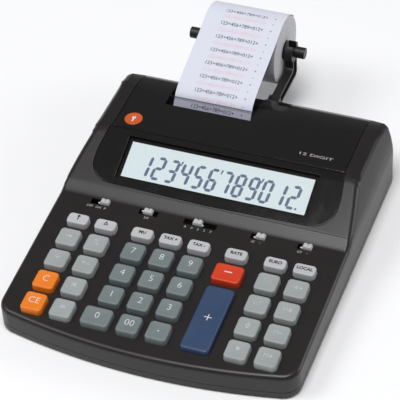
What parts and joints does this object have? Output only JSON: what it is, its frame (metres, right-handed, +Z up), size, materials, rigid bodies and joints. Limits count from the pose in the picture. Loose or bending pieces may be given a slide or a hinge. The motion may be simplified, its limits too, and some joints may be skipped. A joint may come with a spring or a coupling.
{
  "type": "printing desk calculator",
  "caption": "Desk calculator: wedge-shaped housing with a numeric keyboard, slide switches, wide tilted display, small printer under a cover and a paper roll on two rear arms.",
  "frame": {"origin": "middle of the part's footprint at the level of the feet", "axes": "+Y runs from the user towards the paper roll, +Z up, X across with X = 0 in the middle of the housing"},
  "size_m": [0.205, 0.309, 0.0747],
  "materials": {
    "housing": "black, soft sheen",
    "gloss": "black, polished",
    "clear": "clear plastic",
    "display": "pale grey liquid-crystal panel",
    "rubber": "grey contact mat",
    "board": "green circuit board",
    "paper": "white paper",
    "spindle": "black",
    "steel": "dull sheet steel",
    "roller_rubber": "black rubber",
    "drum": "dark grey",
    "knob": "light grey",
    "digit_key": "dark grey-green",
    "small_key": "light grey",
    "function_key": "mid grey",
    "orange_key": "orange",
    "red_key": "red",
    "blue_key": "dark blue"
  },
  "bodies": {
    "housing": {"upper_housing": "housing", "lower_housing": "housing", "printer_cover": "gloss", "display_bezel": "gloss", "display_window": "clear", "lcd_panel": "display", "key_mat": "rubber", "main_board": "board", "printed_strip": "paper", "tear_bar": "clear", "holder_arm_left": "housing", "holder_arm_right": "housing", "printer_frame": "steel"},
    "roll": {"paper_roll": "paper", "roll_spindle": "spindle"},
    "platen": {"platen_roller": "roller_rubber"},
    "drum": {"print_drum": "drum"},
    "key_0": {"key_0": "digit_key"},
    "key_00": {"key_00": "digit_key"},
    "key_1": {"key_1": "digit_key"},
    "key_2": {"key_2": "digit_key"},
    "key_3": {"key_3": "digit_key"},
    "key_4": {"key_4": "digit_key"},
    "key_5": {"key_5": "digit_key"},
    "key_6": {"key_6": "digit_key"},
    "key_7": {"key_7": "digit_key"},
    "key_8": {"key_8": "digit_key"},
    "key_9": {"key_9": "digit_key"},
    "key_backspace": {"key_backspace": "function_key"},
    "key_clear": {"key_clear": "orange_key"},
    "key_clear_entry": {"key_clear_entry": "orange_key"},
    "key_delta": {"key_delta": "small_key"},
    "key_divide": {"key_divide": "function_key"},
    "key_equals": {"key_equals": "function_key"},
    "key_euro": {"key_euro": "small_key"},
    "key_grand_total": {"key_grand_total": "function_key"},
    "key_local": {"key_local": "small_key"},
    "key_mark_up": {"key_mark_up": "small_key"},
    "key_memory_minus": {"key_memory_minus": "function_key"},
    "key_memory_plus": {"key_memory_plus": "function_key"},
    "key_memory_recall": {"key_memory_recall": "function_key"},
    "key_memory_subtotal": {"key_memory_subtotal": "function_key"},
    "key_minus": {"key_minus": "red_key"},
    "key_multiply": {"key_multiply": "function_key"},
    "key_number_print": {"key_number_print": "function_key"},
    "key_paper_feed": {"key_paper_feed": "small_key"},
    "key_percent": {"key_percent": "function_key"},
    "key_plus": {"key_plus": "blue_key"},
    "key_point": {"key_point": "digit_key"},
    "key_rate": {"key_rate": "small_key"},
    "key_sign_change": {"key_sign_change": "function_key"},
    "key_subtotal": {"key_subtotal": "function_key"},
    "key_tax_minus": {"key_tax_minus": "small_key"},
    "key_tax_plus": {"key_tax_plus": "small_key"},
    "key_total": {"key_total": "function_key"},
    "switch_decimals": {"switch_decimals": "knob"},
    "switch_item_count": {"switch_item_count": "knob"},
    "switch_power": {"switch_power": "knob"},
    "switch_rounding": {"switch_rounding": "knob"},
    "switch_total": {"switch_total": "knob"}
  },
  "joints": [
    {"name": "key_0_press", "type": "slide", "parent": "housing", "child": "key_0", "axis": [0, 0.0767, -0.9971], "range_m": [0, 0.0025], "stiffness_N_per_m": 200, "springref_m": -0.001},
    {"name": "key_00_press", "type": "slide", "parent": "housing", "child": "key_00", "axis": [0, 0.0767, -0.9971], "range_m": [0, 0.0025], "stiffness_N_per_m": 200, "springref_m": -0.001},
    {"name": "key_1_press", "type": "slide", "parent": "housing", "child": "key_1", "axis": [0, 0.0767, -0.9971], "range_m": [0, 0.0025], "stiffness_N_per_m": 200, "springref_m": -0.001},
    {"name": "key_2_press", "type": "slide", "parent": "housing", "child": "key_2", "axis": [0, 0.0767, -0.9971], "range_m": [0, 0.0025], "stiffness_N_per_m": 200, "springref_m": -0.001},
    {"name": "key_3_press", "type": "slide", "parent": "housing", "child": "key_3", "axis": [0, 0.0767, -0.9971], "range_m": [0, 0.0025], "stiffness_N_per_m": 200, "springref_m": -0.001},
    {"name": "key_4_press", "type": "slide", "parent": "housing", "child": "key_4", "axis": [0, 0.0767, -0.9971], "range_m": [0, 0.0025], "stiffness_N_per_m": 200, "springref_m": -0.001},
    {"name": "key_5_press", "type": "slide", "parent": "housing", "child": "key_5", "axis": [0, 0.0767, -0.9971], "range_m": [0, 0.0025], "stiffness_N_per_m": 200, "springref_m": -0.001},
    {"name": "key_6_press", "type": "slide", "parent": "housing", "child": "key_6", "axis": [0, 0.0767, -0.9971], "range_m": [0, 0.0025], "stiffness_N_per_m": 200, "springref_m": -0.001},
    {"name": "key_7_press", "type": "slide", "parent": "housing", "child": "key_7", "axis": [0, 0.0767, -0.9971], "range_m": [0, 0.0025], "stiffness_N_per_m": 200, "springref_m": -0.001},
    {"name": "key_8_press", "type": "slide", "parent": "housing", "child": "key_8", "axis": [0, 0.0767, -0.9971], "range_m": [0, 0.0025], "stiffness_N_per_m": 200, "springref_m": -0.001},
    {"name": "key_9_press", "type": "slide", "parent": "housing", "child": "key_9", "axis": [0, 0.0767, -0.9971], "range_m": [0, 0.0025], "stiffness_N_per_m": 200, "springref_m": -0.001},
    {"name": "key_backspace_press", "type": "slide", "parent": "housing", "child": "key_backspace", "axis": [0, 0.0767, -0.9971], "range_m": [0, 0.0025], "stiffness_N_per_m": 200, "springref_m": -0.001},
    {"name": "key_clear_press", "type": "slide", "parent": "housing", "child": "key_clear", "axis": [0, 0.0767, -0.9971], "range_m": [0, 0.0025], "stiffness_N_per_m": 200, "springref_m": -0.001},
    {"name": "key_clear_entry_press", "type": "slide", "parent": "housing", "child": "key_clear_entry", "axis": [0, 0.0767, -0.9971], "range_m": [0, 0.0025], "stiffness_N_per_m": 200, "springref_m": -0.001},
    {"name": "key_delta_press", "type": "slide", "parent": "housing", "child": "key_delta", "axis": [0, 0.0767, -0.9971], "range_m": [0, 0.0025], "stiffness_N_per_m": 200, "springref_m": -0.001},
    {"name": "key_divide_press", "type": "slide", "parent": "housing", "child": "key_divide", "axis": [0, 0.0767, -0.9971], "range_m": [0, 0.0025], "stiffness_N_per_m": 200, "springref_m": -0.001},
    {"name": "key_equals_press", "type": "slide", "parent": "housing", "child": "key_equals", "axis": [0, 0.0767, -0.9971], "range_m": [0, 0.0025], "stiffness_N_per_m": 200, "springref_m": -0.001},
    {"name": "key_euro_press", "type": "slide", "parent": "housing", "child": "key_euro", "axis": [0, 0.0767, -0.9971], "range_m": [0, 0.0025], "stiffness_N_per_m": 200, "springref_m": -0.001},
    {"name": "key_grand_total_press", "type": "slide", "parent": "housing", "child": "key_grand_total", "axis": [0, 0.0767, -0.9971], "range_m": [0, 0.0025], "stiffness_N_per_m": 200, "springref_m": -0.001},
    {"name": "key_local_press", "type": "slide", "parent": "housing", "child": "key_local", "axis": [0, 0.0767, -0.9971], "range_m": [0, 0.0025], "stiffness_N_per_m": 200, "springref_m": -0.001},
    {"name": "key_mark_up_press", "type": "slide", "parent": "housing", "child": "key_mark_up", "axis": [0, 0.0767, -0.9971], "range_m": [0, 0.0025], "stiffness_N_per_m": 200, "springref_m": -0.001},
    {"name": "key_memory_minus_press", "type": "slide", "parent": "housing", "child": "key_memory_minus", "axis": [0, 0.0767, -0.9971], "range_m": [0, 0.0025], "stiffness_N_per_m": 200, "springref_m": -0.001},
    {"name": "key_memory_plus_press", "type": "slide", "parent": "housing", "child": "key_memory_plus", "axis": [0, 0.0767, -0.9971], "range_m": [0, 0.0025], "stiffness_N_per_m": 200, "springref_m": -0.001},
    {"name": "key_memory_recall_press", "type": "slide", "parent": "housing", "child": "key_memory_recall", "axis": [0, 0.0767, -0.9971], "range_m": [0, 0.0025], "stiffness_N_per_m": 200, "springref_m": -0.001},
    {"name": "key_memory_subtotal_press", "type": "slide", "parent": "housing", "child": "key_memory_subtotal", "axis": [0, 0.0767, -0.9971], "range_m": [0, 0.0025], "stiffness_N_per_m": 200, "springref_m": -0.001},
    {"name": "key_minus_press", "type": "slide", "parent": "housing", "child": "key_minus", "axis": [0, 0.0767, -0.9971], "range_m": [0, 0.0025], "stiffness_N_per_m": 200, "springref_m": -0.001},
    {"name": "key_multiply_press", "type": "slide", "parent": "housing", "child": "key_multiply", "axis": [0, 0.0767, -0.9971], "range_m": [0, 0.0025], "stiffness_N_per_m": 200, "springref_m": -0.001},
    {"name": "key_number_print_press", "type": "slide", "parent": "housing", "child": "key_number_print", "axis": [0, 0.0767, -0.9971], "range_m": [0, 0.0025], "stiffness_N_per_m": 200, "springref_m": -0.001},
    {"name": "key_paper_feed_press", "type": "slide", "parent": "housing", "child": "key_paper_feed", "axis": [0, 0.0767, -0.9971], "range_m": [0, 0.0025], "stiffness_N_per_m": 200, "springref_m": -0.001},
    {"name": "key_percent_press", "type": "slide", "parent": "housing", "child": "key_percent", "axis": [0, 0.0767, -0.9971], "range_m": [0, 0.0025], "stiffness_N_per_m": 200, "springref_m": -0.001},
    {"name": "key_plus_press", "type": "slide", "parent": "housing", "child": "key_plus", "axis": [0, 0.0767, -0.9971], "range_m": [0, 0.0025], "stiffness_N_per_m": 200, "springref_m": -0.001},
    {"name": "key_point_press", "type": "slide", "parent": "housing", "child": "key_point", "axis": [0, 0.0767, -0.9971], "range_m": [0, 0.0025], "stiffness_N_per_m": 200, "springref_m": -0.001},
    {"name": "key_rate_press", "type": "slide", "parent": "housing", "child": "key_rate", "axis": [0, 0.0767, -0.9971], "range_m": [0, 0.0025], "stiffness_N_per_m": 200, "springref_m": -0.001},
    {"name": "key_sign_change_press", "type": "slide", "parent": "housing", "child": "key_sign_change", "axis": [0, 0.0767, -0.9971], "range_m": [0, 0.0025], "stiffness_N_per_m": 200, "springref_m": -0.001},
    {"name": "key_subtotal_press", "type": "slide", "parent": "housing", "child": "key_subtotal", "axis": [0, 0.0767, -0.9971], "range_m": [0, 0.0025], "stiffness_N_per_m": 200, "springref_m": -0.001},
    {"name": "key_tax_minus_press", "type": "slide", "parent": "housing", "child": "key_tax_minus", "axis": [0, 0.0767, -0.9971], "range_m": [0, 0.0025], "stiffness_N_per_m": 200, "springref_m": -0.001},
    {"name": "key_tax_plus_press", "type": "slide", "parent": "housing", "child": "key_tax_plus", "axis": [0, 0.0767, -0.9971], "range_m": [0, 0.0025], "stiffness_N_per_m": 200, "springref_m": -0.001},
    {"name": "key_total_press", "type": "slide", "parent": "housing", "child": "key_total", "axis": [0, 0.0767, -0.9971], "range_m": [0, 0.0025], "stiffness_N_per_m": 200, "springref_m": -0.001},
    {"name": "switch_decimals_slide", "type": "slide", "parent": "housing", "child": "switch_decimals", "axis": [1, 0, 0], "range_m": [-0.0064, 0.0096]},
    {"name": "switch_item_count_slide", "type": "slide", "parent": "housing", "child": "switch_item_count", "axis": [1, 0, 0], "range_m": [-0.0034, 0]},
    {"name": "switch_power_slide", "type": "slide", "parent": "housing", "child": "switch_power", "axis": [1, 0, 0], "range_m": [-0.0068, 0]},
    {"name": "switch_rounding_slide", "type": "slide", "parent": "housing", "child": "switch_rounding", "axis": [1, 0, 0], "range_m": [-0.00315, 0.00315]},
    {"name": "switch_total_slide", "type": "slide", "parent": "housing", "child": "switch_total", "axis": [1, 0, 0], "range_m": [-0.0034, 0]},
    {"name": "roll_spin", "type": "hinge", "parent": "housing", "child": "roll", "pos_m": [-0.024, 0.1295, 0.049], "axis": [1, 0, 0], "continuous": true},
    {"name": "platen_spin", "type": "hinge", "parent": "housing", "child": "platen", "pos_m": [-0.024, 0.0525, 0.03], "axis": [1, 0, 0], "continuous": true},
    {"name": "drum_spin", "type": "hinge", "parent": "housing", "child": "drum", "pos_m": [-0.024, 0.0399, 0.03], "axis": [1, 0, 0], "continuous": true}
  ]
}
